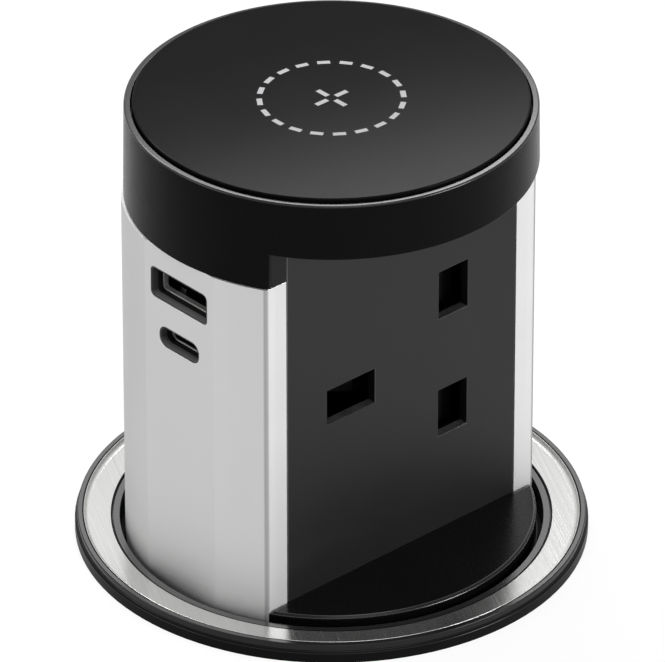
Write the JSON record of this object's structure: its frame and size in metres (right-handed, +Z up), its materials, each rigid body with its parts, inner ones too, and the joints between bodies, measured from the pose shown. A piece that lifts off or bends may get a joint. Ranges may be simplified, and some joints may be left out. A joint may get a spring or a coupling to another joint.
{
  "type": "pop up desk socket",
  "caption": "Round desk fitting whose sprung tower rises to show a mains socket and USB ports, with a charging pad on its cap and a sleeve clamped through the desk.",
  "frame": {"origin": "centre of the flange's underside, on the desk top", "axes": "+Z up along the tower's travel; the mains socket faces -Y and the USB flat faces -X"},
  "size_m": [0.092, 0.092, 0.1886],
  "materials": {
    "bezel_black": "fine satin moulding",
    "brushed_steel": "straight brushed",
    "sleeve_black": "moulded",
    "seal_rubber": "matt",
    "zinc_plate": "zinc plated",
    "spring_steel": "drawn wire",
    "bright_steel": "bright",
    "screw_steel": "zinc plated",
    "acetal": "moulded acetal",
    "base_black": "smooth moulding",
    "gland_black": "moulded",
    "satin_aluminium": "satin anodised",
    "plate_black": "fine satin texture",
    "carrier_black": "moulded",
    "shutter_black": "moulded",
    "contact_brass": "pressed",
    "liner_grey": "moulded",
    "port_steel": "nickel plated",
    "tongue_black": "moulded",
    "board_green": "solder mask",
    "transformer_tape": "taped",
    "capacitor_sleeve": "shrink sleeve",
    "cap_black": "satin moulding",
    "ferrite": "matt",
    "coil_copper": "enamelled wire",
    "pad_soft_black": "soft touch"
  },
  "bodies": {
    "desk_fitting": {"bezel": "bezel_black", "steel_ring": "brushed_steel", "sleeve": "sleeve_black", "desk_gasket": "seal_rubber", "bottom_cover": "sleeve_black", "bottom_screws": "screw_steel", "cord_grommet": "seal_rubber", "lift_spring": "spring_steel", "latch_bracket": "zinc_plate", "latch_pin": "bright_steel"},
    "tower": {"stop_bumper": "seal_rubber", "shutter_spring": "spring_steel", "latch_striker": "bright_steel", "tie_screws": "screw_steel", "carrier_screws": "screw_steel", "terminal_screws": "screw_steel", "cap_screws": "screw_steel", "guide_ring": "acetal", "tower_base": "base_black", "cord_gland": "gland_black", "gland_nut": "gland_black", "tower_shell": "satin_aluminium", "socket_plate": "plate_black", "socket_carrier": "carrier_black", "live_contact": "contact_brass", "neutral_contact": "contact_brass", "earth_contact": "contact_brass", "usb_liner": "liner_grey", "usb_a_shell": "port_steel", "usb_c_shell": "port_steel", "usb_a_tongue": "tongue_black", "usb_c_tongue": "tongue_black", "usb_board": "board_green", "power_board": "board_green", "charge_board": "board_green", "transformer": "transformer_tape", "capacitors": "capacitor_sleeve", "cap_collar": "cap_black", "cap_shell": "cap_black", "ferrite_disc": "ferrite", "charge_coil": "coil_copper", "charge_pad": "pad_soft_black"},
    "shutter": {"shutter": "shutter_black"},
    "latch_hook": {"latch_hook": "acetal"},
    "clamp_washer": {"clamp_washer": "zinc_plate"},
    "clamp_nut": {"clamp_nut": "sleeve_black"}
  },
  "joints": [
    {"name": "tower_slide", "type": "slide", "parent": "desk_fitting", "child": "tower", "axis": [0, 0, 1], "range_m": [-0.07895, 0], "stiffness_N_per_m": 76, "springref_m": 0.08, "deforming": ["lift_spring"]},
    {"name": "shutter_slide", "type": "slide", "parent": "tower", "child": "shutter", "axis": [1, 0, 0], "range_m": [0, 0.0064], "stiffness_N_per_m": 120, "springref_m": -0.004, "deforming": ["shutter_spring"]},
    {"name": "latch_swing", "type": "hinge", "parent": "desk_fitting", "child": "latch_hook", "pos_m": [0, 0.015, -0.09945], "axis": [1, 0, 0], "range_deg": [-30, 0]},
    {"name": "clamp_travel", "type": "slide", "parent": "desk_fitting", "child": "clamp_washer", "axis": [0, 0, 1], "range_m": [-0.035, 0.015]},
    {"name": "nut_turn", "type": "hinge", "parent": "clamp_washer", "child": "clamp_nut", "pos_m": [0, 0, 0], "axis": [0, 0, 1], "range_deg": [-3150, 1350]}
  ],
  "couplings": [
    {"joint": "clamp_travel", "follows": "nut_turn", "m_per_rad": 0.00063662}
  ]
}
